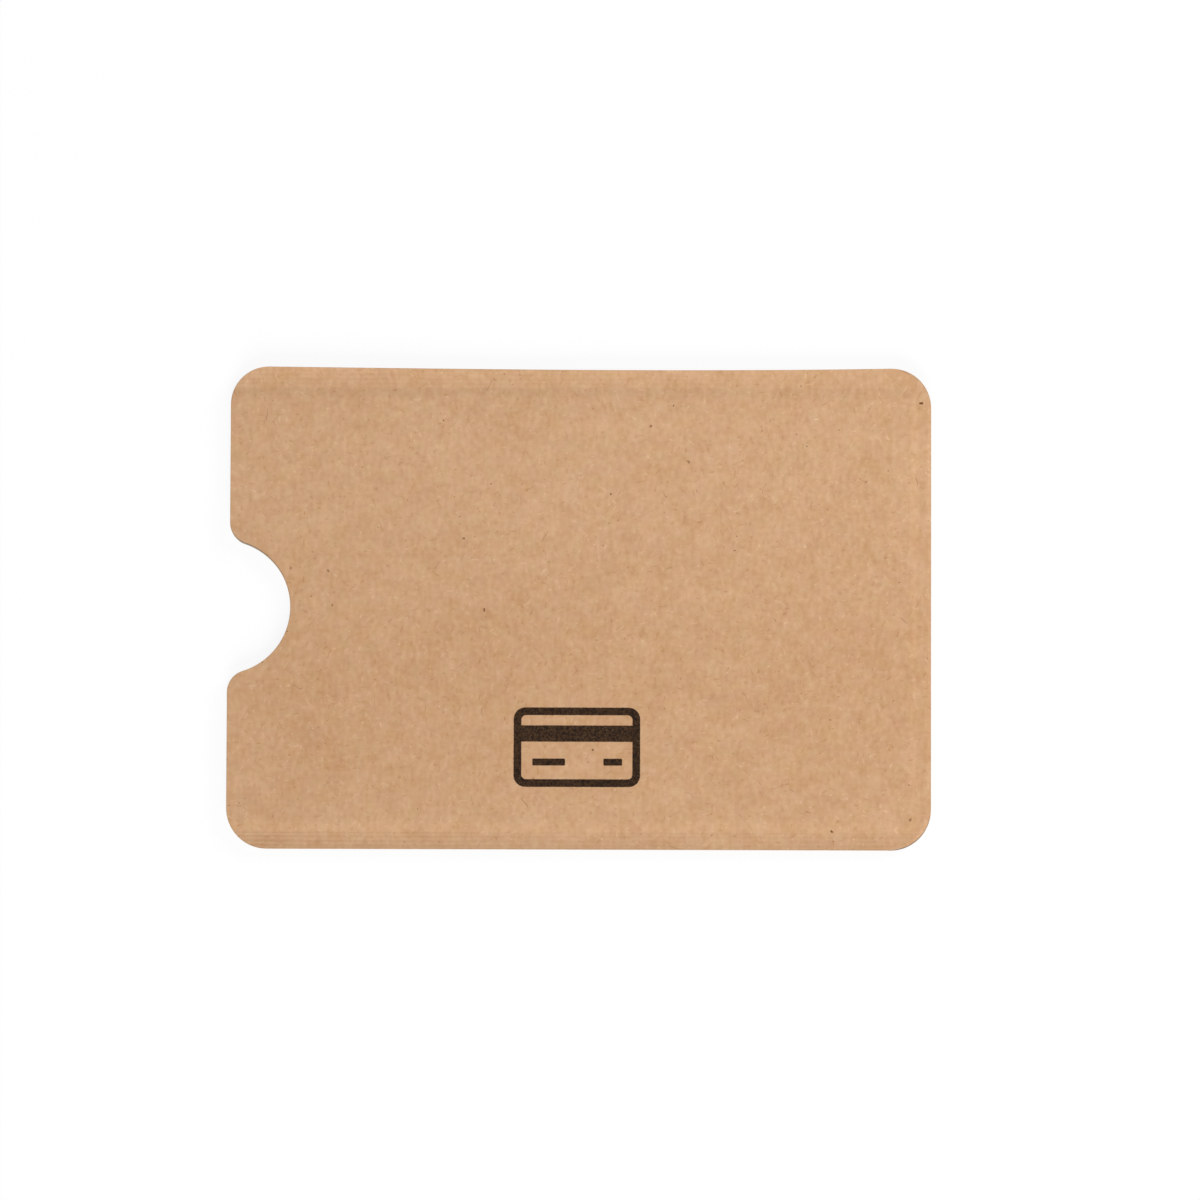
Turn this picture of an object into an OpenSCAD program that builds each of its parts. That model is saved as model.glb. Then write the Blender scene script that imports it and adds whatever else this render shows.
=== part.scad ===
// Shielded card sleeve, in millimetres: a flat pouch for one bank card.
// Two webs of kraft paper, metal foil and heat-sealing film lie face to face with the film inside.
// They are melted together along both long edges and one short edge, and die-cut to one outline.
// X runs along the pouch, with the mouth at -X and the closed end at +X. Y runs across it.
// Z is its thickness: the back lies flat at z = 0 and the front faces up.

/* [Card] */
// Length of the card that the pouch takes
card_l = 85.6; // [80:0.1:92]
// Width of the card
card_w = 54; // [48:0.1:60]
// Thickness of the card
card_t = 0.76; // [0.5:0.02:1.2]

/* [Pocket] */
// Free height above the card
card_gap = 0.1; // [0.04:0.02:0.4]
// Room from each long side of the card to its seam, over which the webs part
side_play = 1.6; // [1.2:0.1:3]
// Room from the inner end of the card to the end seam, over which the webs part
end_play = 1.2; // [1:0.1:3]
// How far inside the mouth the card ends
mouth_inset = 1.6; // [0.4:0.1:4]
// Rise of the front web above its seams, while the back web takes the rest of the pocket height
front_rise = 0.1; // [0.04:0.02:0.3]

/* [Laminate] */
// Thickness of the kraft paper
kraft_t = 0.2; // [0.12:0.02:0.3]
// Thickness of the shielding foil
foil_t = 0.02; // [0.01:0.005:0.04]
// Thickness of the heat-sealing film
film_t = 0.03; // [0.02:0.005:0.06]

/* [Seams] */
// Width of the ribbed seam along each long edge
side_seam_w = 2.4; // [1.6:0.1:4]
// Width of the smooth seam across the closed end
end_seam_w = 1.6; // [1:0.1:4]
// How far the outer edge of a ribbed seam curls up
seam_curl = 0.24; // [0.04:0.02:0.4]
// Distance from one crimp rib to the next
rib_pitch = 0.54; // [0.4:0.01:0.7]
// Height of a crimp rib above its grooves
rib_h = 0.02; // [0.01:0.01:0.06]
// Least plain strip beside the ribs, on each side of them
rib_margin = 0.1; // [0.06:0.02:0.3]

/* [Outline] */
// Radius of the four outer corners
corner_r = 5.2; // [2:0.1:9]
// Radius of the thumb notch in the mouth edge
notch_r = 8.6; // [6:0.1:12]
// Depth of the thumb notch
notch_depth = 7.9; // [4:0.1:10]
// Radius that blends the thumb notch into the mouth edge
notch_blend_r = 3.4; // [1:0.1:5]

/* [Hidden] */

kraft_colour = "#CDA17B";
foil_colour = "#C9CBCE";
film_colour = "#E6E4DC";

// Plies of one web, as distances outwards from the face where the two films meet
film_out = film_t;
foil_out = film_out + foil_t;
kraft_out = foil_out + kraft_t;

// Pocket and outline
pocket_h = card_t + card_gap;
back_drop = pocket_h - front_rise;
pocket_half_w = card_w / 2 + side_play;
sleeve_w = 2 * (pocket_half_w + side_seam_w);
sleeve_l = mouth_inset + card_l + end_play + end_seam_w;
mouth_x = -sleeve_l / 2;
closed_x = sleeve_l / 2;
end_seam_x = closed_x - end_seam_w;

// Height of the face where the films meet in the seams
seam_z = kraft_out + back_drop;

// Crimp ribs, centred in the width of a side seam
rib_count = floor((side_seam_w - 2 * rib_margin) / rib_pitch);
rib_start = (side_seam_w - rib_count * rib_pitch) / 2;
rib_end = rib_start + rib_count * rib_pitch;

// The curl follows this power of the distance from the inner edge of the seam
curl_power = 2;

// Straight facets per rib and per sloping strip of web
rib_facets = 8;
slope_facets = 8;

// Trimming solids reach this far past the outline, and this far above and below the webs
past = 1;
clear_z = 2;
bottom_z = -clear_z;
top_z = seam_z + kraft_out + seam_curl + clear_z;

// Smooth step from 0 to 1 and its slope
function ease(t) = t * t * (3 - 2 * t);
function ease_slope(t) = 6 * t * (1 - t);

// Height of the curled seam and its slope, with d running inwards from the long edge
function curl_z(d) = seam_curl * pow(1 - d / side_seam_w, curl_power);
function curl_slope(d) =
    -seam_curl * curl_power / side_seam_w * pow(1 - d / side_seam_w, curl_power - 1);

// Height that the crimp adds to every ply of a side seam
function rib_z(d) =
    d > rib_start && d < rib_end
    ? rib_h * (1 - cos(360 * (d - rib_start) / rib_pitch)) / 2
    : 0;

// Point of the cross-section, where the web climbs by rise over the side play and out is the ply's
// distance from the meeting face, measured square to the web
function side_point(d, rise, out) =
    let (
        t = (d - side_seam_w) / side_play,
        z = t <= 0 ? curl_z(d) : rise * ease(t),
        slope = t <= 0 ? curl_slope(d) : rise * ease_slope(t) / side_play,
        stretch = sqrt(1 + slope * slope)
    )
    [sleeve_w / 2 - d + out * slope / stretch, seam_z + z + rib_z(d) + out / stretch];

// Point of the lengthwise section at the closed end, with d running inwards from the closed edge
function end_point(d, rise, out) =
    let (
        t = max(0, (d - end_seam_w) / end_play),
        slope = rise * ease_slope(t) / end_play,
        stretch = sqrt(1 + slope * slope)
    )
    [closed_x - d + out * slope / stretch, seam_z + rise * ease(t) + out / stretch];

// Places of the section points, from past the edge inwards
side_steps = concat(
    [-past, 0],
    [for (i = [0 : rib_count * rib_facets]) rib_start + i * rib_pitch / rib_facets],
    [for (i = [0 : slope_facets]) side_seam_w + i * side_play / slope_facets]
);
end_steps = concat(
    [-past],
    [for (i = [0 : slope_facets]) end_seam_w + i * end_play / slope_facets]
);

// Cross-section of a web surface from edge to edge, closed at the height far_z
module side_section(rise, out, far_z) {
    upper = [for (d = side_steps) side_point(d, rise, out)];
    lower = [for (i = [len(upper) - 1 : -1 : 0]) [-upper[i][0], upper[i][1]]];
    far = sleeve_w / 2 + 2 * past;
    polygon(concat([[far, far_z], [far, upper[0][1]]], upper, lower,
        [[-far, upper[0][1]], [-far, far_z]]));
}

// Lengthwise section of a web surface from the closed end to the mouth, closed at the height far_z
module end_section(rise, out, far_z) {
    slope = [for (d = end_steps) end_point(d, rise, out)];
    far = mouth_x - 2 * past;
    polygon(concat([[slope[0][0], far_z]], slope, [[far, seam_z + rise + out], [far, far_z]]));
}

// Everything between a web surface and the height far_z
module web_side(rise, out, far_z) {
    intersection() {
        translate([mouth_x - past, 0, 0])
            rotate([90, 0, 90])
                linear_extrude(sleeve_l + 2 * past)
                    side_section(rise, out, far_z);
        union() {
            rotate([90, 0, 0])
                linear_extrude(2 * pocket_half_w, center = true)
                    end_section(rise, out, far_z);
            beside_pocket(1);
            beside_pocket(-1);
        }
    }
}

// Block over the whole length of one side seam
module beside_pocket(side) {
    strip = side_seam_w + 3 * past;
    translate([0, side * (pocket_half_w + strip / 2), (top_z + bottom_z) / 2])
        cube([sleeve_l + 6 * past, strip, top_z - bottom_z], center = true);
}

// Half-space solids on the pocket side of a ply face of each web
module under_front(out) {
    web_side(front_rise, out, bottom_z);
}

module over_back(out) {
    web_side(-back_drop, -out, top_z);
}

// Die-cut outline shared by every ply
module outline() {
    difference() {
        union() {
            square([sleeve_l - 2 * corner_r, sleeve_w], center = true);
            square([sleeve_l, sleeve_w - 2 * corner_r], center = true);
            for (x = [-1, 1], y = [-1, 1])
                translate([x * (sleeve_l / 2 - corner_r), y * (sleeve_w / 2 - corner_r)])
                    circle(corner_r, $fn = 96);
        }
        thumb_notch();
    }
}

// Round notch in the mouth edge, blended into it by a fillet on each side
module thumb_notch() {
    centre_x = mouth_x + notch_depth - notch_r;
    blend_x = mouth_x + notch_blend_r;
    reach = notch_r + notch_blend_r;
    blend_y = sqrt(reach * reach - pow(blend_x - centre_x, 2));
    tangent_x = centre_x + (blend_x - centre_x) * notch_r / reach;
    tangent_y = blend_y * notch_r / reach;
    translate([centre_x, 0])
        circle(notch_r, $fn = 128);
    difference() {
        polygon([[mouth_x - past, blend_y], [mouth_x, blend_y], [tangent_x, tangent_y],
            [tangent_x, -tangent_y], [mouth_x, -blend_y], [mouth_x - past, -blend_y]]);
        for (side = [-1, 1])
            translate([blend_x, side * blend_y])
                circle(notch_blend_r, $fn = 64);
    }
}

module outline_prism() {
    translate([0, 0, bottom_z])
        linear_extrude(top_z - bottom_z)
            outline();
}

// Area of the open pocket, from past the mouth to the end seam
module pocket_block() {
    length = end_seam_x - mouth_x + past;
    translate([end_seam_x - length / 2, 0, (top_z + bottom_z) / 2])
        cube([length, 2 * pocket_half_w, top_z - bottom_z], center = true);
}

// One ply of the front web, between two distances from the meeting face
module front_ply(inner, outer) {
    intersection() {
        outline_prism();
        difference() {
            under_front(outer);
            under_front(inner);
        }
    }
}

// One ply of the back web
module back_ply(inner, outer) {
    intersection() {
        outline_prism();
        difference() {
            over_back(outer);
            over_back(inner);
        }
    }
}

// The two films melted into one layer between the foils
module melted_film() {
    intersection() {
        outline_prism();
        under_front(film_out);
        over_back(film_out);
    }
}

// Kraft paper of the front
module front_kraft() {
    color(kraft_colour)
        front_ply(foil_out, kraft_out);
}

// Shielding foil behind the front paper
module front_foil() {
    color(foil_colour)
        front_ply(film_out, foil_out);
}

// Heat-sealing film that lines the front of the pocket
module front_film() {
    color(film_colour)
        intersection() {
            front_ply(0, film_out);
            pocket_block();
        }
}

// Kraft paper of the back
module back_kraft() {
    color(kraft_colour)
        back_ply(foil_out, kraft_out);
}

// Shielding foil in front of the back paper
module back_foil() {
    color(foil_colour)
        back_ply(film_out, foil_out);
}

// Heat-sealing film that lines the back of the pocket
module back_film() {
    color(film_colour)
        intersection() {
            back_ply(0, film_out);
            pocket_block();
        }
}

// Ribbed seam along the +Y edge
module upper_side_seam() {
    color(film_colour)
        intersection() {
            melted_film();
            beside_pocket(1);
        }
}

// Ribbed seam along the -Y edge
module lower_side_seam() {
    color(film_colour)
        intersection() {
            melted_film();
            beside_pocket(-1);
        }
}

// Smooth seam across the closed end, between the side seams
module end_seam() {
    color(film_colour)
        difference() {
            melted_film();
            pocket_block();
            beside_pocket(1);
            beside_pocket(-1);
        }
}

front_kraft();
front_foil();
front_film();
back_kraft();
back_foil();
back_film();
upper_side_seam();
lower_side_seam();
end_seam();
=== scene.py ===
"""Shielded card sleeve of kraft paper, foil and sealing film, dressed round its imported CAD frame.

All shapes are worked out in millimetres, in the frame of the CAD, and written in metres.
X runs along the sleeve from the mouth to the closed end, Y across it and Z up through its front.
"""
import math

import bpy
import numpy as np
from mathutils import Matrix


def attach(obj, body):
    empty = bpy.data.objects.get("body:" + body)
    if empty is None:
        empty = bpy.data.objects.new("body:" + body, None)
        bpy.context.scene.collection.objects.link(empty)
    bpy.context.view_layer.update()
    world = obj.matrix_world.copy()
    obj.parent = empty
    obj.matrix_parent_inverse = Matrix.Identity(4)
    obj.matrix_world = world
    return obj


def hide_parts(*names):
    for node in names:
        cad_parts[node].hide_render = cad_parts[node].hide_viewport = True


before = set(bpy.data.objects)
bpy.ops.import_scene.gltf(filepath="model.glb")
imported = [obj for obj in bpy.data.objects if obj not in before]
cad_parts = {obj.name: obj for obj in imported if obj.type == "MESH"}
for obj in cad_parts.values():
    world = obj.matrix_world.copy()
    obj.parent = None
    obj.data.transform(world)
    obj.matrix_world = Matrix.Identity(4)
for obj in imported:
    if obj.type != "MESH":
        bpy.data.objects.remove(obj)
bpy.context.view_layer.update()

MM = 0.001
TURN = 2 * math.pi

# Sleeve, as in the CAD
HALF_L = 45.0
HALF_W = 31.0
SIDE_SEAM_W = 2.4
SIDE_PLAY = 1.6
END_SEAM_W = 1.6
END_PLAY = 1.2
POCKET_HALF_W = HALF_W - SIDE_SEAM_W
END_SEAM_X = HALF_L - END_SEAM_W
FRONT_RISE = 0.1
BACK_DROP = 0.76

# Faces of the plies, as distances outwards from the face where the two films meet
FILM_OUT = 0.03
FOIL_OUT = 0.05
KRAFT_OUT = 0.25
SEAM_Z = KRAFT_OUT + BACK_DROP

# Outline as die-cut, which strays from the nominal one by a few tenths of a millimetre
CORNER_R = 5.2
UPPER_MOUTH_CORNER_R = 4.93
NOTCH_R = 8.61
NOTCH_DEPTH = 7.90
NOTCH_Y = -0.01
BLEND_R = 2.85
UPPER_MOUTH_X = -HALF_L + 0.13
LOWER_MOUTH_X = -HALF_L - 0.14
TOP_BOW = 0.37
TOP_SKEW = 0.16

# The seams were pressed this far off the middle of the die-cut outline
SEAM_SHIFT = 0.25

# Curl of the side seams towards their cut edges
CURL = 0.19
CURL_POWER = 2.0

# How the curl wanders along a seam: share of its height, lengths along x and y, phase
CURL_WANDER = (
    (0.06, 9.0, 20.0, 1.0),
    (0.03, 3.7, 9.0, 0.0),
)

# The front web parts steeply from a side seam and flattens out towards the panel
LIFT_POWER = 0.8

# Height of the crimp ribs at the mouth, in the middle and at the closed end
UPPER_RIBS = (0.010, 0.006, 0.004)
LOWER_RIBS = (0.014, 0.008, 0.008)

# Distance between ribs, and from the nominal cut edge to the outermost one
RIB_PITCH = 0.58
UPPER_CREST = 0.61
LOWER_CREST = 0.30

# Unevenness of the ribs: slow and quick changes of height as shares, and stray of their places
RIB_SWELL = 0.30
RIB_FLICKER = 0.25
RIB_STRAY = 0.02

# The ribs rise over this width at the inner edge of the seam
RIB_FADE = 0.15

# The closed edge rolls down where the die cut it
ROLL_W = 0.8
ROLL_H = 0.10

# Cut rim of the paper: the knife presses its outer corner down a little
RIM_W = 0.03
RIM_DROP = 0.02

# Painted shade along the cut edges: a grey line where the cut edge and the gap where the webs
# part lie in shade. Its width, and its strength in the notch, along the other edges that face -Y,
# along the closed end and at its lower corner
CUT_SHADE_W = 0.20
NOTCH_SHADE = 0.72
LOWER_SHADE = 0.20
CLOSED_SHADE = 0.15
CORNER_SHADE = 0.80

# Gap that keeps a film's face from lying exactly in its foil's face
FILM_GAP = 0.004

# Smooth waves of the front panel: height, wavelength along x and y, phase
COCKLES = (
    (0.012, 31.0, 23.0, 0.6),
    (0.009, 17.0, 29.0, 2.1),
    (0.007, 12.0, 14.0, 4.0),
    (0.004, 7.5, 10.5, 1.3),
)

# Their crests bend by this angle, over this many wavelengths across
COCKLE_BEND = 0.8
COCKLE_BEND_WAVES = 1.7

# They fade out over this distance from the seams
COCKLE_FADE = 6.0

# Step over which slopes are taken, and rounds in which a ply face settles on its distance
SLOPE_STEP = 1e-3
SURFACE_ROUNDS = 5


def ease(t):
    """Smooth step from 0 to 1."""
    t = np.clip(t, 0.0, 1.0)
    return t * t * (3 - 2 * t)


# Outline


def corner_inset(y, radius):
    """How far the outline of the corners lies inside the short edges, at y."""
    over = np.clip(np.abs(y) - (HALF_W - radius), 0.0, radius)
    return radius - np.sqrt(radius**2 - over**2)


def mouth_parts(side_x):
    """X of the notch's centre, and Y where its blend meets the mouth edge and where the notch."""
    centre_x = -HALF_L + NOTCH_DEPTH - NOTCH_R
    reach = NOTCH_R + BLEND_R
    blend_y = math.sqrt(reach**2 - (side_x + BLEND_R - centre_x) ** 2)
    return centre_x, blend_y, blend_y * NOTCH_R / reach


def left_edge(y):
    """X of the cut edge on the mouth side, for an array of y."""
    side_x = np.where(y > NOTCH_Y, UPPER_MOUTH_X, LOWER_MOUTH_X)
    x = side_x + corner_inset(y, np.where(y > NOTCH_Y, UPPER_MOUTH_CORNER_R, CORNER_R))
    off = np.abs(y - NOTCH_Y)
    for above, edge_x in ((True, UPPER_MOUTH_X), (False, LOWER_MOUTH_X)):
        centre_x, blend_y, tangent_y = mouth_parts(edge_x)
        here = (y > NOTCH_Y) == above
        in_blend = here & (off < blend_y) & (off >= tangent_y)
        in_notch = here & (off < tangent_y)
        blend_depth = np.sqrt(np.clip(BLEND_R**2 - (blend_y - off) ** 2, 0, None))
        notch_reach = np.sqrt(np.clip(NOTCH_R**2 - off**2, 0, None))
        x = np.where(in_blend, edge_x + BLEND_R - blend_depth, x)
        x = np.where(in_notch, centre_x + notch_reach, x)
    return x


def right_edge(y):
    """X of the cut edge at the closed end, for an array of y."""
    return HALF_L - corner_inset(y, CORNER_R)


def bowed(x, y):
    """Y of a point once the cut along the upper edge has its slight inward bow."""
    u = x / HALF_L
    weight = np.clip((y - POCKET_HALF_W) / SIDE_SEAM_W, 0.0, 1.0)
    return y - (TOP_BOW + TOP_SKEW * u) * (1 - u * u) * weight


def slope_of(edge, y):
    """Slope of a cut edge, as x over y."""
    return (edge(y + SLOPE_STEP) - edge(y - SLOPE_STEP)) / (2 * SLOPE_STEP)


def cut_shade_line(x, y):
    """Distance of points from the nearest cut edge, and the strength of the painted shade line
    there.
    """
    left_slope = slope_of(left_edge, y)
    right_slope = slope_of(right_edge, y)
    left_stretch = np.sqrt(1 + left_slope**2)
    right_stretch = np.sqrt(1 + right_slope**2)
    left_facing_down = np.clip(-left_slope / left_stretch, 0.0, 1.0)
    right_facing_down = np.clip(right_slope / right_stretch, 0.0, 1.0)
    in_notch = np.abs(y - NOTCH_Y) < NOTCH_R + BLEND_R
    distances = np.stack([
        (x - left_edge(y)) / left_stretch,
        (right_edge(y) - x) / right_stretch,
        y + HALF_W,
        HALF_W - y,
    ])
    strengths = np.stack([
        left_facing_down * np.where(in_notch, NOTCH_SHADE, LOWER_SHADE),
        CLOSED_SHADE + right_facing_down * (CORNER_SHADE - CLOSED_SHADE),
        np.full_like(y, LOWER_SHADE),
        np.zeros_like(y),
    ])
    nearest = np.argmin(distances, 0)[None]
    distance = np.take_along_axis(distances, nearest, 0)[0]
    return distance, np.take_along_axis(strengths, nearest, 0)[0]


# Heights of the webs


def waves(x, y):
    """Sum of the slight cockles of a paper panel."""
    total = np.zeros_like(x)
    for height, along, across, phase in COCKLES:
        bend = COCKLE_BEND * np.sin(TURN * y / (COCKLE_BEND_WAVES * across) + 2 * phase)
        crests = np.sin(TURN * x / along + bend + phase)
        total += height * crests * np.cos(TURN * y / across + phase)
    return total


def seam_distance(y):
    """Distance inwards from where the long edges would be if the seams were centred."""
    return HALF_W - np.abs(y + SEAM_SHIFT)


def curl(x, y):
    """Height of a curled side seam, over the level of its inner edge."""
    strength = 1.0
    for share, along, across, phase in CURL_WANDER:
        strength = strength - share * (1 + np.sin(x / along + y / across + phase))
    outwards = np.clip(1 - seam_distance(y) / SIDE_SEAM_W, 0.0, None)
    return CURL * strength * outwards**CURL_POWER


def ribs(x, y):
    """Height that the crimp adds to every ply of a side seam."""
    stops = (-HALF_L, 0.0, HALF_L)
    height = np.where(y > 0, np.interp(x, stops, UPPER_RIBS), np.interp(x, stops, LOWER_RIBS))
    swell = RIB_SWELL * np.sin(x / 5.3 + y / 3) * np.sin(x / 2.1 + y)
    flicker = RIB_FLICKER * np.sin(x / 0.9 + 7 * y)
    stray = RIB_STRAY * np.sin(x / 6.1 + np.sign(y))
    from_crest = HALF_W - np.abs(y) - np.where(y > 0, UPPER_CREST, LOWER_CREST) + stray
    wave = (1 + np.cos(TURN * from_crest / RIB_PITCH)) / 2
    inside = ease((SIDE_SEAM_W - seam_distance(y)) / RIB_FADE)
    return height * (1 + swell + flicker) * wave * inside


def roll(x, y):
    """Drop of the webs at the closed edge."""
    d = right_edge(y) - x
    return ROLL_H * np.clip(1 - d / ROLL_W, 0.0, 1.0) ** 2


def web_height(x, y, rise):
    """Height of the face where the films meet, over the seams' own level, without the ribs."""
    side = np.clip((seam_distance(y) - SIDE_SEAM_W) / SIDE_PLAY, 0.0, 1.0)
    side_parted = ease(side ** (LIFT_POWER if rise > 0 else 1.0))
    end_parted = ease((HALF_L - x - END_SEAM_W) / END_PLAY)
    return curl(x, y) + rise * side_parted * end_parted - roll(x, y)


def surface(x, y, rise, out):
    """Height of a ply face at x, y.

    out is its distance from the meeting face, square to the web, so the place on that face that
    the point belongs to is found in a few rounds.
    """
    h = SLOPE_STEP
    base_x, base_y = x.copy(), y.copy()
    for _ in range(SURFACE_ROUNDS):
        ahead, behind = web_height(base_x + h, base_y, rise), web_height(base_x - h, base_y, rise)
        above, below = web_height(base_x, base_y + h, rise), web_height(base_x, base_y - h, rise)
        slope_x = (ahead - behind) / (2 * h)
        slope_y = (above - below) / (2 * h)
        stretch = np.sqrt(1 + slope_x**2 + slope_y**2)
        base_x = x + out * slope_x / stretch
        base_y = y + out * slope_y / stretch
    z = SEAM_Z + web_height(base_x, base_y, rise) + out / stretch + ribs(x, y)
    if rise > 0:
        from_side = ease((seam_distance(y) - SIDE_SEAM_W) / COCKLE_FADE)
        from_end = ease((END_SEAM_X - x) / COCKLE_FADE)
        z = z + waves(x, y) * from_side * from_end
    return z


# Rows and columns of the sheets

# Distances from the long edge of the rows across a side seam, dense over the ribs
SEAM_ROWS = (0.0, RIM_W, 0.08, *np.linspace(0.12, 2.28, 33), 2.33, SIDE_SEAM_W)

# Then over the slope beside it, and up to the end of the corners
SLOPE_ROWS = tuple(np.linspace(SIDE_SEAM_W, SIDE_SEAM_W + SIDE_PLAY, 13)[1:])
CORNER_ROWS = (4.35, 4.75, CORNER_R)

# Rows along one half of the notch, along one blend and along the straight edge beyond it
NOTCH_ROWS = 36
BLEND_ROWS = 15
MOUTH_ROWS = 20

# Rows closer together than this become one
LEAST_ROW_GAP = 4e-3

# Slack when rows and columns are picked by their place
SLACK = 1e-6

# A sheet's columns follow its cut edges over this distance
EDGE_REACH = 20.0


def row_places(low, high):
    """Y of the rows between low and high: dense over ribs, slopes and the curve of the notch."""
    upper = [HALF_W - d for d in SEAM_ROWS + SLOPE_ROWS + CORNER_ROWS]
    places = upper + [-y for y in upper]
    for sign, edge_x in ((1, UPPER_MOUTH_X), (-1, LOWER_MOUTH_X)):
        _, blend_y, tangent_y = mouth_parts(edge_x)
        for angle in np.linspace(0, math.asin(tangent_y / NOTCH_R), NOTCH_ROWS):
            places.append(NOTCH_Y + sign * NOTCH_R * math.sin(angle))
        first = math.acos((blend_y - tangent_y) / BLEND_R)
        for angle in np.linspace(first, math.pi / 2, BLEND_ROWS):
            places.append(NOTCH_Y + sign * (blend_y - BLEND_R * math.cos(angle)))
        start, end = NOTCH_Y + sign * blend_y, sign * (HALF_W - CORNER_R)
        places += list(np.linspace(start, end, MOUTH_ROWS))
    places = sorted(p for p in places if low - SLACK <= p <= high + SLACK)
    kept = [places[0]]
    for p in places[1:]:
        if p - kept[-1] > LEAST_ROW_GAP:
            kept.append(p)
    return np.array(kept)


def column_places(fine, last):
    """X of the columns of a sheet that ends at last, before they follow the cut edges."""
    if fine:
        x = [-HALF_L + d for d in (0.0, RIM_W, 0.12, 0.4, 0.9, 1.6, 2.5)]
        x += list(np.linspace(-HALF_L + 4.0, 40.6, 42))
        x += list(np.linspace(41.2, END_SEAM_X, 12))
        x += list(np.linspace(END_SEAM_X, HALF_L - ROLL_W, 4))[1:]
        x += list(np.linspace(HALF_L - ROLL_W, HALF_L - RIM_W, 8))[1:]
        x += [HALF_L]
    else:
        x = [-HALF_L, -44.4, -43.0]
        x += list(np.linspace(-40.5, 40.5, 20))
        x += [41.6, 42.2, 42.5, 42.8, 43.1, END_SEAM_X, 44.0, 44.4, 44.7, HALF_L]
    return np.array([v for v in x if v <= last + SLACK])


def grid(rows, columns, left, right):
    """Plan of a sheet: columns keep their places amid the sheet and follow its two cut edges."""
    u, y = np.meshgrid(columns, rows)
    left_shift = (left(rows) - columns[0])[:, None]
    right_shift = (right(rows) - columns[-1])[:, None]
    near_left = 1 - ease((u - columns[0]) / EDGE_REACH)
    near_right = 1 - ease((columns[-1] - u) / EDGE_REACH)
    x = u + left_shift * near_left + right_shift * near_right
    return x, bowed(x, y)


def whole_plan(fine):
    """Plan over the whole outline."""
    rows = row_places(-HALF_W, HALF_W)
    return grid(rows, column_places(fine, HALF_L), left_edge, right_edge)


def pocket_plan():
    """Plan over the open pocket, from the mouth to the end seam."""
    rows = row_places(-POCKET_HALF_W, POCKET_HALF_W)
    columns = column_places(False, END_SEAM_X)
    return grid(rows, columns, left_edge, lambda y: np.full(len(y), END_SEAM_X))


def side_plan(side):
    """Plan over one side seam."""
    low, high = sorted((side * POCKET_HALF_W, side * HALF_W))
    return grid(row_places(low, high), column_places(False, HALF_L), left_edge, right_edge)


def end_plan():
    """Plan over the end seam, between the side seams."""
    rows = row_places(-POCKET_HALF_W, POCKET_HALF_W)
    columns = np.array([END_SEAM_X, 43.7, 44.0, 44.3, 44.6, 44.8, HALF_L])
    u, y = np.meshgrid(columns, rows)
    end = right_edge(rows)[:, None]
    return END_SEAM_X + (u - END_SEAM_X) * (end - END_SEAM_X) / END_SEAM_W, y


# Meshes

# Edges sharper than this stay sharp
SHARP_ANGLE = math.radians(50)


def sheet_mesh(name, x, y, top, bottom):
    """Closed sheet between two heights over one plan."""
    rows, columns = x.shape
    upper = np.stack([x, y, top], -1).reshape(-1, 3)
    lower = np.stack([x, y, bottom], -1).reshape(-1, 3)
    points = (np.concatenate([upper, lower]) * MM).astype(np.float32)
    count = rows * columns
    at = np.arange(count).reshape(rows, columns)
    corners = (at[:-1, :-1], at[:-1, 1:], at[1:, 1:], at[1:, :-1])
    face_top = np.stack(corners, -1).reshape(-1, 4)
    face_bottom = face_top[:, ::-1] + count
    ring = np.concatenate([at[0, :-1], at[:-1, -1], at[-1, :0:-1], at[:0:-1, 0]])
    after = np.roll(ring, -1)
    walls = np.stack([ring, ring + count, after + count, after], -1)
    faces = np.concatenate([face_top, face_bottom, walls])
    starts = np.arange(0, faces.size, 4, dtype=np.int32)
    mesh = bpy.data.meshes.new(name)
    mesh.vertices.add(2 * count)
    mesh.vertices.foreach_set("co", points.ravel())
    mesh.loops.add(faces.size)
    mesh.loops.foreach_set("vertex_index", faces.astype(np.int32).ravel())
    mesh.polygons.add(len(faces))
    mesh.polygons.foreach_set("loop_start", starts)
    mesh.update(calc_edges=True)
    mesh.validate()
    mesh.polygons.foreach_set("use_smooth", np.ones(len(faces), bool))
    mesh.set_sharp_from_angle(angle=SHARP_ANGLE)
    return mesh


def mark_cut_shade(mesh, x, y):
    """Keeps each point's distance from the cut edge and the strength of its painted shade line."""
    for name, values in zip(("cut_distance", "cut_shade_strength"), cut_shade_line(x, y)):
        both_faces = np.tile(values.ravel(), 2).astype(np.float32)
        mesh.attributes.new(name, "FLOAT", "POINT").data.foreach_set("value", both_faces)


def rim(heights, drop):
    """Heights of an outer paper face with its cut rim pressed in by drop."""
    made = heights.copy()
    for edge in (np.s_[0, :], np.s_[-1, :], np.s_[:, 0], np.s_[:, -1]):
        made[edge] = heights[edge] - drop
    return made


def add_sheet(name, node, material, mesh):
    """Puts a sheet in the scene in place of its CAD node."""
    mesh.materials.append(material)
    piece = bpy.data.objects.new(name, mesh)
    bpy.context.scene.collection.objects.link(piece)
    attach(piece, "root")
    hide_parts(node)


# Materials


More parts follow.
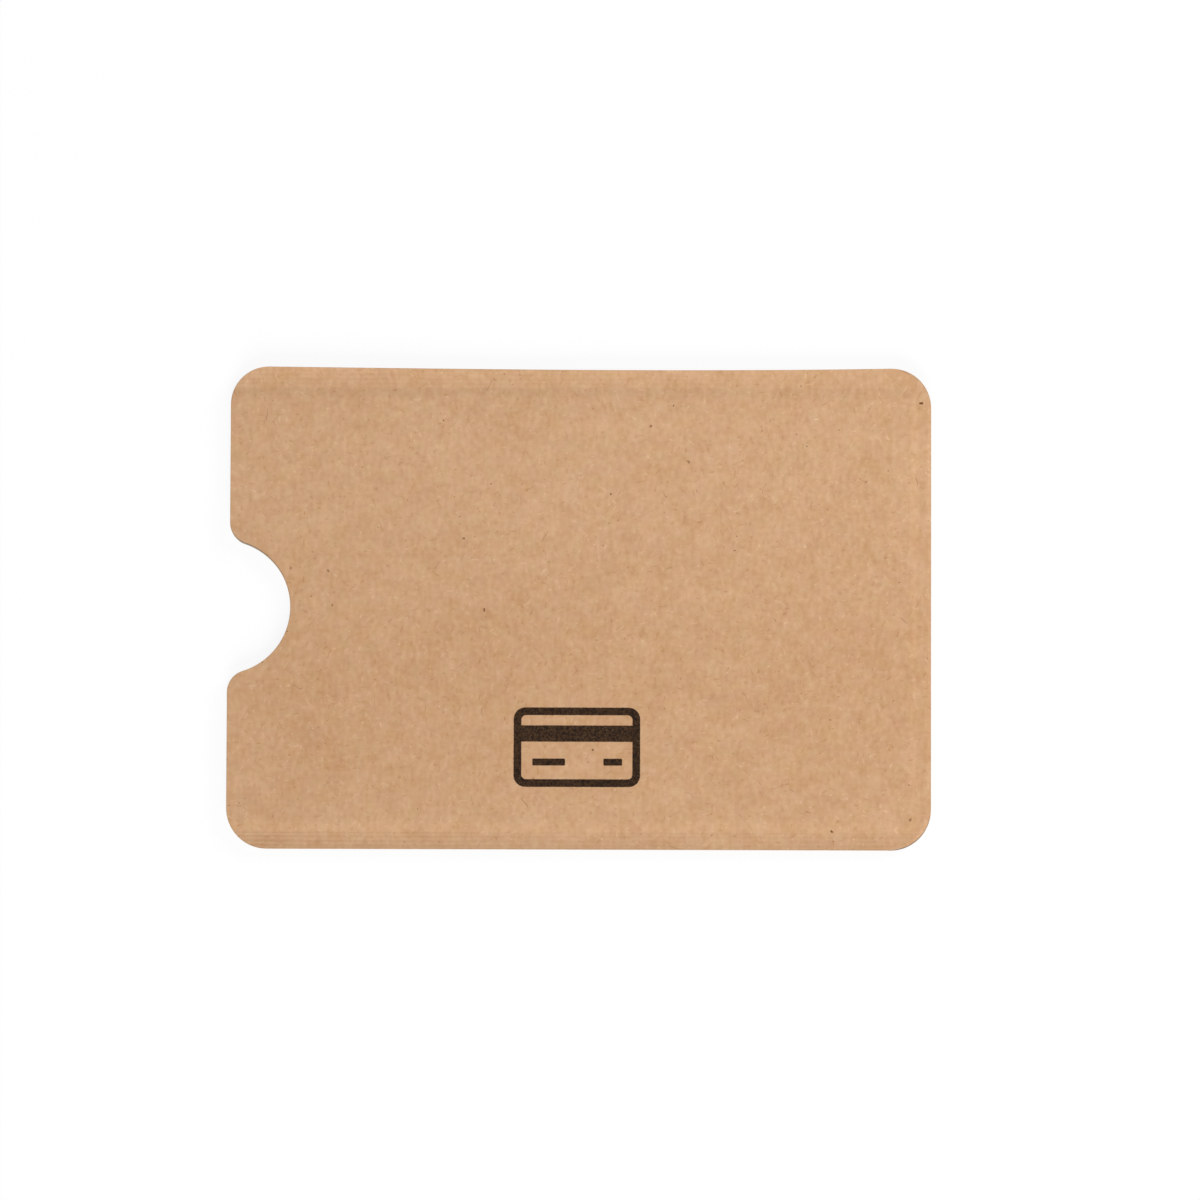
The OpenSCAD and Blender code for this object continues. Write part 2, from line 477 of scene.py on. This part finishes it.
class Graph:
    """Makes the nodes of one material or world and joins them."""

    def __init__(self, owner):
        self.owner = owner
        owner.use_nodes = True
        self.tree = owner.node_tree
        self.tree.nodes.clear()

    def node(self, kind, **settings):
        """Node of this kind with these settings."""
        made = self.tree.nodes.new(kind)
        for key, value in settings.items():
            setattr(made, key, value)
        return made

    def put(self, socket, value):
        """Joins a socket to another node's output, or sets it to a constant."""
        if isinstance(value, bpy.types.NodeSocket):
            self.tree.links.new(value, socket)
        else:
            socket.default_value = value

    def math(self, operation, *values, clamp=False):
        """Result of a sum on numbers."""
        made = self.node("ShaderNodeMath", operation=operation, use_clamp=clamp)
        for socket, value in zip(made.inputs, values):
            self.put(socket, value)
        return made.outputs[0]

    def vector(self, operation, *values):
        """Result of a sum on vectors."""
        made = self.node("ShaderNodeVectorMath", operation=operation)
        for socket, value in zip(made.inputs, values):
            self.put(socket, value)
        return made.outputs["Value" if operation == "LENGTH" else "Vector"]

    def place(self):
        """Object coordinates in millimetres."""
        source = self.node("ShaderNodeTexCoord").outputs["Object"]
        return self.vector("MULTIPLY", source, (1 / MM, 1 / MM, 1 / MM))

    def kept(self, name):
        """Number that a mesh keeps for each point under this name."""
        return self.node("ShaderNodeAttribute", attribute_name=name).outputs["Fac"]

    def parts(self, vector):
        """X, Y and Z of a vector."""
        made = self.node("ShaderNodeSeparateXYZ")
        self.put(made.inputs[0], vector)
        return tuple(made.outputs)

    def stretched(self, place, scale, shift=(0, 0, 0)):
        """place scaled by axis and shifted, so that one noise isn't another's copy."""
        return self.vector("MULTIPLY_ADD", place, scale, shift)

    def noise(self, place, size, detail=0.0, roughness=0.5, output="Fac"):
        """Noise of about this feature size, from 0 to 1 round 0.5."""
        made = self.node("ShaderNodeTexNoise")
        self.put(made.inputs["Vector"], place)
        made.inputs["Scale"].default_value = 1 / size
        made.inputs["Detail"].default_value = detail
        made.inputs["Roughness"].default_value = roughness
        return made.outputs[output]

    def grain(self, place, stretch, seed, size, detail, roughness=0.5):
        """Noise in the plane of the sheet, stretched and moved by its own seed."""
        return self.noise(self.stretched(place, (*stretch, 1), (*seed, 0)), size, detail, roughness)

    def step(self, value, low, high):
        """Smooth step of value from low to high, as 0 to 1."""
        made = self.node("ShaderNodeMapRange", interpolation_type="SMOOTHSTEP")
        self.put(made.inputs["Value"], value)
        made.inputs["From Min"].default_value = low
        made.inputs["From Max"].default_value = high
        return made.outputs["Result"]

    def inverse(self, value):
        """1 less value."""
        return self.math("SUBTRACT", 1.0, value)

    def swing(self, noise, amount):
        """Noise as a swing of about plus or minus amount round 0."""
        return self.math("MULTIPLY", self.math("SUBTRACT", noise, 0.5), 2 * amount)

    def total(self, *values):
        """Sum of numbers."""
        made = values[0]
        for value in values[1:]:
            made = self.math("ADD", made, value)
        return made

    def product(self, *values):
        """Product of numbers."""
        made = values[0]
        for value in values[1:]:
            made = self.math("MULTIPLY", made, value)
        return made

    def mix(self, share, first, second):
        """Colour mix, with its colour sockets by number, because other kinds share their names."""
        made = self.node("ShaderNodeMix", data_type="RGBA")
        self.put(made.inputs[0], share)
        self.put(made.inputs[6], first)
        self.put(made.inputs[7], second)
        return made.outputs[2]

    def shader(self, **inputs):
        """Principled shader with these inputs."""
        made = self.node("ShaderNodeBsdfPrincipled")
        for key, value in inputs.items():
            self.put(made.inputs[key.replace("_", " ")], value)
        return made.outputs[0]

    def bump(self, height, distance):
        """Normal of a bumpy face, with the distance in millimetres."""
        made = self.node("ShaderNodeBump")
        made.inputs["Strength"].default_value = 1.0
        made.inputs["Distance"].default_value = distance * MM
        self.put(made.inputs["Height"], height)
        return made.outputs[0]

    def finish(self, shader, output="ShaderNodeOutputMaterial"):
        """Joins the shader to the output, and gives the material or world."""
        self.put(self.node(output).inputs["Surface"], shader)
        return self.owner


# Kraft paper

KRAFT = (0.618, 0.368, 0.203)

# Darker kraft is also redder: how much red, green and blue follow its tone
TONE_TILT = (0.64, 1.0, 1.44)

# Changes of tone: stretch along x and y, seed, size, detail, swing
TONES = (
    ((1, 1), (0, 0), 0.70, 1.0, 0.135),
    ((1, 1), (3, 7), 2.4, 1.0, 0.125),
    ((1, 1), (8, 2), 9.0, 1.0, 0.05),
    ((1.9, 0.75), (1, 6), 1.0, 0.0, 0.08),
    ((0.8, 3.6), (7, 2), 1.0, 0.0, 0.025),
)

# Slow wave of the tone across the web, lighter above the middle and darker below it: swing, width
# of one wave, place of its zero
DRIFT = 0.032
DRIFT_WAVE = 56.0
DRIFT_ZERO = 4.0

# Changes of hue: seed, size, detail, roughness, and the swing of red, green and blue
HUES = (
    ((9, 4), 2.2, 2.0, 0.6, (0.018, -0.004, -0.012)),
    ((2, 8), 1.6, 1.0, 0.5, (0.006, -0.009, 0.008)),
)

# Layers of fibres: cell, half length, half width, share of cells, seed, strength
FIBRES = (
    (0.95, 0.38, 0.095, 0.70, 3.0, 0.20),
    (1.25, 0.50, 0.090, 0.60, 11.0, 0.22),
    (2.10, 0.80, 0.080, 0.45, 23.0, 0.20),
    (0.90, 0.17, 0.090, 0.16, 37.0, 0.38),
)

# A fibre wanders by this share of its half length, in bends of about this many half lengths
FIBRE_WANDER = 0.9
FIBRE_BEND = 1 / 0.7

# The shortest fibre, as a share of the longest
FIBRE_SHORTEST = 0.4

# Multiplies one random number of a cell to draw another from it
SHUFFLE = 17.3

# Specks of torn bark, small and large: cell, radius, share of cells, seed, strength
SPECKS = (
    (2.4, 0.11, 0.07, 4.0, 0.75),
    (6.5, 0.19, 0.16, 15.0, 1.0),
)

# Slivers of bark: cell, half length, half width, share of cells, seed; and their strength
SLIVERS = (7.0, 1.0, 0.08, 0.16, 51.0)
SLIVER_STRENGTH = 0.3
BARK = (0.115, 0.036, 0.004, 1.0)

# Tooth of the paper: stretch along x and y, seed, size, detail, roughness, share of the height
TOOTH = (
    ((1, 1), (5, 5), 0.16, 2.0, 0.6, 0.6),
    ((4.0, 0.9), (3, 9), 1.0, 1.0, 0.5, 0.4),
    ((1, 1), (6, 1), 0.9, 1.0, 0.5, 0.5),
)
FIBRE_TOOTH = 0.25
TOOTH_HEIGHT = 0.012

PAPER_ROUGHNESS = 0.86
PAPER_SHINE = 0.12

# Grey of the painted shade along the cut edges
CUT_SHADE_GREY = (0.110, 0.095, 0.090, 1.0)

# Print: ink where it lies thick and where it is worn, and how much of the paper it covers
DARK_INK = (0.007, 0.002, 0.0005, 1.0)
WORN_INK = (0.046, 0.022, 0.009, 1.0)
INK_COVER = 0.995
INK_LOST_IN_HOLES = 0.14
INK_SMOOTHING = 0.2

# Only the outer face is printed, which lies above these heights
PRINT_Z = (1.28, 1.30)

# Printed mark: a plain pictogram of a bank card. Each part has its centre, half size and radius
MARK = (-0.3, -17.9)
MARK_OUTER = ((0.0, 0.0), (8.1, 5.1), 1.5)
MARK_INNER = ((0.0, 0.0), (7.1, 4.1), 0.6)
MARK_PARTS = (
    ((0.0, 1.75), (7.7, 1.05), 0.05),
    ((-3.6, -1.9), (2.1, 0.45), 0.15),
    ((4.6, -1.9), (1.2, 0.45), 0.15),
)

# Half width of the mark's soft edge, and how far the edge strays
MARK_SOFT = 0.05
MARK_STRAY = 0.05


def strokes(g, place, cell, reach, width, keep, seed):
    """Curled fibres, one at most in each cell of a loose grid, turned at random.

    Gives their mask and a tone from -1 to 1 that each fibre keeps over its length.
    """
    moved = g.stretched(place, (1, 1, 0), (seed, 1.7 * seed, 0))
    wander = FIBRE_WANDER * reach
    winding = g.noise(moved, FIBRE_BEND * reach, 1.0, output="Color")
    offset = g.stretched(winding, (wander, wander, 0), (-wander / 2, -wander / 2, 0))
    moved = g.vector("ADD", moved, offset)
    cells = g.node("ShaderNodeTexVoronoi", feature="F1", voronoi_dimensions="2D")
    g.put(cells.inputs["Vector"], moved)
    cells.inputs["Scale"].default_value = 1 / cell
    pick = g.node("ShaderNodeSeparateColor")
    g.put(pick.inputs[0], cells.outputs["Color"])
    first, second, third = pick.outputs
    turned = g.node("ShaderNodeVectorRotate", rotation_type="Z_AXIS")
    g.put(turned.inputs["Vector"], g.vector("SUBTRACT", moved, cells.outputs["Position"]))
    g.put(turned.inputs["Angle"], g.product(first, math.pi))
    x, y, _ = g.parts(turned.outputs[0])
    shortest = FIBRE_SHORTEST * reach
    half_length = g.math("MULTIPLY_ADD", second, reach - shortest, shortest)
    along = g.math("DIVIDE", g.math("ABSOLUTE", x), half_length)
    ends = g.inverse(g.step(along, 0.7, 1.0))
    sides = g.inverse(g.step(g.math("ABSOLUTE", y), 0.3 * width, width))
    drawn = g.math("LESS_THAN", g.math("FRACT", g.product(second, SHUFFLE)), keep)
    tone = g.math("SUBTRACT", g.product(third, 2.0), 1.0)
    return g.product(ends, sides, drawn), tone


def specks(g, place, cell, radius, keep, seed):
    """Mask of sparse dark specks, each with a strength of its own."""
    mask, tone = strokes(g, place, cell, 1.5 * radius, radius, keep, seed)
    return g.product(mask, g.math("MULTIPLY_ADD", tone, 0.3, 0.7))


def flat_box(g, place, part, stray):
    """Mask of a part of the mark, a box with rounded corners in the plane of the sheet."""
    (part_x, part_y), (half_x, half_y), radius = part
    from_centre = g.vector("SUBTRACT", place, (MARK[0] + part_x, MARK[1] + part_y, 0))
    folded = g.vector("ABSOLUTE", g.vector("MULTIPLY", from_centre, (1, 1, 0)))
    past = g.vector("SUBTRACT", folded, (half_x - radius, half_y - radius, 0))
    outside = g.vector("LENGTH", g.vector("MAXIMUM", past, (0, 0, 0)))
    gap = g.total(g.math("SUBTRACT", outside, radius), stray)
    return g.inverse(g.step(gap, -MARK_SOFT, MARK_SOFT))


def card_mark(g, place):
    """Mask of the printed mark."""
    stray = g.swing(g.noise(place, 0.22, 2.0, 0.6), MARK_STRAY)
    outer = flat_box(g, place, MARK_OUTER, stray)
    inner = flat_box(g, place, MARK_INNER, stray)
    mark = g.math("SUBTRACT", outer, inner, clamp=True)
    for part in MARK_PARTS:
        mark = g.math("MAXIMUM", mark, flat_box(g, place, part, stray))
    return mark


def kraft_tone(g, place, paper):
    """Tone of the paper round 0, and the masks of its fibres."""
    tones = [g.swing(g.grain(paper, *look), amount) for *look, amount in TONES]
    # Slow wave that makes the web lighter above the middle and darker below it
    _, y, _ = g.parts(place)
    turn = g.product(g.math("SUBTRACT", y, DRIFT_ZERO), TURN / DRIFT_WAVE)
    tones.append(g.product(g.math("SINE", turn), DRIFT))
    masks = []
    for *shape, strength in FIBRES:
        mask, tone = strokes(g, paper, *shape)
        tones.append(g.product(mask, tone, strength))
        masks.append(mask)
    return g.total(*tones), masks


def kraft_colour(g, tone, paper):
    """Colour of the bare paper with its changes of hue and its bark."""
    colour = g.stretched(tone, tuple(c * t for c, t in zip(KRAFT, TONE_TILT)), KRAFT)
    for seed, size, detail, roughness, swings in HUES:
        hue = g.swing(g.grain(paper, (1, 1), seed, size, detail, roughness), 1.0)
        colour = g.vector("ADD", colour, g.vector("MULTIPLY", hue, swings))
    slivers, _ = strokes(g, paper, *SLIVERS)
    bark = g.product(slivers, SLIVER_STRENGTH)
    for *shape, strength in SPECKS:
        bark = g.math("MAXIMUM", bark, g.product(specks(g, paper, *shape), strength))
    return g.mix(bark, colour, BARK)


def kraft_paper(name, shift, printed):
    """Recycled kraft: clouds and mottle, curled fibres of either tone, specks and a fine tooth."""
    g = Graph(bpy.data.materials.new(name))
    place = g.place()
    paper = g.stretched(place, (1, 1, 3), shift)
    tone, fibres = kraft_tone(g, place, paper)
    colour = kraft_colour(g, tone, paper)
    roughness = g.total(PAPER_ROUGHNESS, g.swing(g.noise(paper, 0.6, 1.0), 0.08))
    tooth = [g.product(g.grain(paper, *look), share) for *look, share in TOOTH]
    tooth.append(g.product(g.total(*fibres), FIBRE_TOOTH))
    if printed:
        holes = g.step(g.grain(paper, (1, 1), (8, 8), 0.20, 2.0, 0.7), 0.60, 0.72)
        worn = g.step(g.grain(paper, (1, 1), (2, 3), 0.30, 1.0, 0.6), 0.30, 0.70)
        cover = g.math("SUBTRACT", INK_COVER, g.product(holes, INK_LOST_IN_HOLES))
        _, _, z = g.parts(place)
        ink = g.product(card_mark(g, place), cover, g.step(z, *PRINT_Z))
        colour = g.mix(ink, colour, g.mix(worn, DARK_INK, WORN_INK))
        roughness = g.math("SUBTRACT", roughness, g.product(ink, INK_SMOOTHING))
    # Painted shade: a grey line along the cut edges, where the edge and the gap between the webs
    # lie in shade
    on_shade_line = g.inverse(g.step(g.kept("cut_distance"), CUT_SHADE_W / 3, CUT_SHADE_W))
    colour = g.mix(g.product(on_shade_line, g.kept("cut_shade_strength")), colour, CUT_SHADE_GREY)
    shader = g.shader(
        Base_Color=colour,
        Roughness=roughness,
        Specular_IOR_Level=PAPER_SHINE,
        Normal=g.bump(g.total(*tooth), TOOTH_HEIGHT),
    )
    return g.finish(shader)


# Foil and film


def shielding_foil():
    """Rolled aluminium foil, with fine lines along the sleeve."""
    g = Graph(bpy.data.materials.new("shielding_foil"))
    place = g.place()
    lines = g.noise(g.stretched(place, (0.15, 9.0, 1)), 1.0, 2.0, 0.6)
    dull = g.noise(place, 3.0, 2.0, 0.6)
    tint = g.mix(dull, (0.54, 0.553, 0.575, 1), (0.628, 0.641, 0.659, 1))
    roughness = g.total(0.30, g.swing(lines, 0.06), g.swing(dull, 0.05))
    height = g.total(lines, g.noise(place, 1.6, 1.0))
    shader = g.shader(
        Base_Color=tint,
        Metallic=1.0,
        Roughness=roughness,
        Normal=g.bump(height, 0.006),
    )
    return g.finish(shader)


def sealing_film():
    """Clear heat-sealing film, slightly hazy, so that the foil shows through it."""
    g = Graph(bpy.data.materials.new("sealing_film"))
    place = g.place()
    haze = g.noise(place, 2.4, 2.0, 0.6)
    tint = g.mix(haze, (0.755, 0.741, 0.684, 1), (0.827, 0.811, 0.748, 1))
    roughness = g.total(0.12, g.swing(g.noise(place, 0.8, 1.0), 0.05))
    height = g.grain(place, (1, 1), (4, 2), 1.2, 2.0)
    shader = g.shader(
        Base_Color=tint,
        Roughness=roughness,
        IOR=1.49,
        Alpha=0.5,
        Normal=g.bump(height, 0.010),
    )
    return g.finish(shader)


# Pieces

# Each web: its name, how far it rises over the seams, and the side on which its plies lie
WEBS = (("front", FRONT_RISE, 1), ("back", -BACK_DROP, -1))

# How far the back paper's noise lies from the front's, so that the two faces differ
BACK_SHIFT = (40, 25, 9)


def build_papers():
    """The kraft paper of both webs."""
    papers = {
        "front": kraft_paper("kraft_paper_front", (0, 0, 0), True),
        "back": kraft_paper("kraft_paper_back", BACK_SHIFT, False),
    }
    x, y = whole_plan(True)
    for web, rise, sign in WEBS:
        name = web + "_kraft_sheet"
        inner = surface(x, y, rise, sign * FOIL_OUT)
        outer = rim(surface(x, y, rise, sign * KRAFT_OUT), sign * RIM_DROP)
        top, bottom = (outer, inner) if sign > 0 else (inner, np.maximum(outer, 0.0))
        mesh = sheet_mesh(name, x, y, top, bottom)
        # Keeps on the paper where its painted shade line along the cut edges lies
        mark_cut_shade(mesh, x, y)
        add_sheet(name, web + "_kraft", papers[web], mesh)


def build_linings(ply, plan, material, from_out, to_out):
    """The same thin ply of both webs, between two distances from the meeting face."""
    x, y = plan
    for web, rise, sign in WEBS:
        name = f"{web}_{ply}_sheet"
        faces = [surface(x, y, rise, sign * out) for out in (from_out, to_out)]
        bottom, top = faces if sign > 0 else faces[::-1]
        add_sheet(name, f"{web}_{ply}", material, sheet_mesh(name, x, y, top, bottom))


def build_seams(film):
    """The film of both webs melted into one layer, along the sides and the closed end."""
    out = FILM_OUT - FILM_GAP
    for name, node, (x, y) in (
        ("upper_side_weld", "upper_side_seam", side_plan(1)),
        ("lower_side_weld", "lower_side_seam", side_plan(-1)),
        ("end_weld", "end_seam", end_plan()),
    ):
        top = surface(x, y, FRONT_RISE, out)
        bottom = surface(x, y, -BACK_DROP, -out)
        add_sheet(name, node, film, sheet_mesh(name, x, y, top, bottom))


def build_sleeve():
    """All nine plies."""
    build_papers()
    foil = shielding_foil()
    film = sealing_film()
    build_linings("foil", whole_plan(False), foil, FILM_OUT, FOIL_OUT)
    build_linings("film", pocket_plan(), film, 0.0, FILM_OUT - FILM_GAP)
    build_seams(film)


# Stage, lights and camera, in metres

# Light from all round, as a share of full white
AMBIENT = 0.26

# Floor as seen: plain glow, and the share of real light on it that lets it show the shadow. Other
# rays meet a plain pale floor. From the first to the second distance it fades to plain white
FLOOR_GLOW = 0.90
FLOOR_SHARE = 0.11
FLOOR_PALE = 0.8
FLOOR_FADE = (110.0, 260.0)
FLOOR_HALF = 4.0
FLOOR_Z = -0.01 * MM

# Lamps: name, place, size and level
SOFTBOXES = (
    ("front_softbox", (0.0, -1.40, 0.68), 0.9, 0.49),
    ("side_softbox", (0.36, 0.22, 0.21), 0.24, 0.29),
)

CAMERA_PLACE = (0.01146, -0.09432, 1.18632)
CAMERA_TURN = (0.0803, 0.0072, 0.0035)
CAMERA_LENS = 278.4


def seen_directly(g):
    """1 for rays from the camera and for those that metal and film send on."""
    light = g.node("ShaderNodeLightPath")
    seen = g.math("MAXIMUM", light.outputs["Is Camera Ray"], light.outputs["Is Glossy Ray"])
    return g.math("MAXIMUM", seen, light.outputs["Is Transmission Ray"])


def white_floor():
    """Material of the floor: it keeps the sleeve's shadow and is plain white farther off."""
    g = Graph(bpy.data.materials.new("white_floor"))
    seen = seen_directly(g)
    far = g.step(g.vector("LENGTH", g.place()), *FLOOR_FADE)
    own = g.product(g.inverse(far), FLOOR_SHARE)
    share = g.total(g.product(g.math("SUBTRACT", own, FLOOR_PALE), seen), FLOOR_PALE)
    glow = g.product(g.total(FLOOR_GLOW, g.product(far, 1 - FLOOR_GLOW)), seen)
    grey = g.node("ShaderNodeCombineXYZ")
    for socket in grey.inputs:
        g.put(socket, share)
    diffuse = g.node("ShaderNodeBsdfDiffuse")
    g.put(diffuse.inputs["Color"], grey.outputs[0])
    emission = g.node("ShaderNodeEmission")
    g.put(emission.inputs["Strength"], glow)
    both = g.node("ShaderNodeAddShader")
    g.put(both.inputs[0], diffuse.outputs[0])
    g.put(both.inputs[1], emission.outputs[0])
    return g.finish(both.outputs[0])


def add_floor():
    """Plain floor just under the sleeve."""
    r, z = FLOOR_HALF, FLOOR_Z
    mesh = bpy.data.meshes.new("floor")
    mesh.from_pydata([(-r, -r, z), (r, -r, z), (r, r, z), (-r, r, z)], [], [(0, 1, 2, 3)])
    mesh.materials.append(white_floor())
    floor = bpy.data.objects.new("floor", mesh)
    bpy.context.scene.collection.objects.link(floor)


def add_world():
    """Even ambient light, seen as plain white."""
    g = Graph(bpy.data.worlds.new("studio"))
    background = g.node("ShaderNodeBackground")
    background.inputs["Color"].default_value = (1, 1, 1, 1)
    strength = g.math("MULTIPLY_ADD", seen_directly(g), 1 - AMBIENT, AMBIENT)
    g.put(background.inputs["Strength"], strength)
    bpy.context.scene.world = g.finish(background.outputs[0], "ShaderNodeOutputWorld")


def add_softbox(name, place, size, level):
    """Square area light aimed at the sleeve, where it gives the share level of full white.

    A white face looks full white under pi watts per square metre. At the distance d one watt
    gives 1 / (pi d^2) to a face turned to the lamp, and that times height / d to the sleeve.
    """
    data = bpy.data.lights.new(name, "AREA")
    data.shape = "SQUARE"
    data.size = size
    light = bpy.data.objects.new(name, data)
    light.location = place
    distance = light.location.length
    data.energy = level * math.pi**2 * distance**3 / light.location.z
    light.rotation_mode = "QUATERNION"
    light.rotation_quaternion = (-light.location).to_track_quat("-Z", "Y")
    bpy.context.scene.collection.objects.link(light)


def add_camera():
    """Camera where the photograph was taken from, as its perspective shows."""
    data = bpy.data.cameras.new("camera")
    data.sensor_width = 36.0
    data.lens = CAMERA_LENS
    data.clip_start = 0.05
    data.clip_end = 20.0
    camera = bpy.data.objects.new("camera", data)
    camera.location = CAMERA_PLACE
    camera.rotation_euler = CAMERA_TURN
    bpy.context.scene.collection.objects.link(camera)
    bpy.context.scene.camera = camera


add_camera()
build_sleeve()
add_floor()
add_world()
for softbox in SOFTBOXES:
    add_softbox(*softbox)
bpy.context.scene.view_settings.view_transform = "Standard"
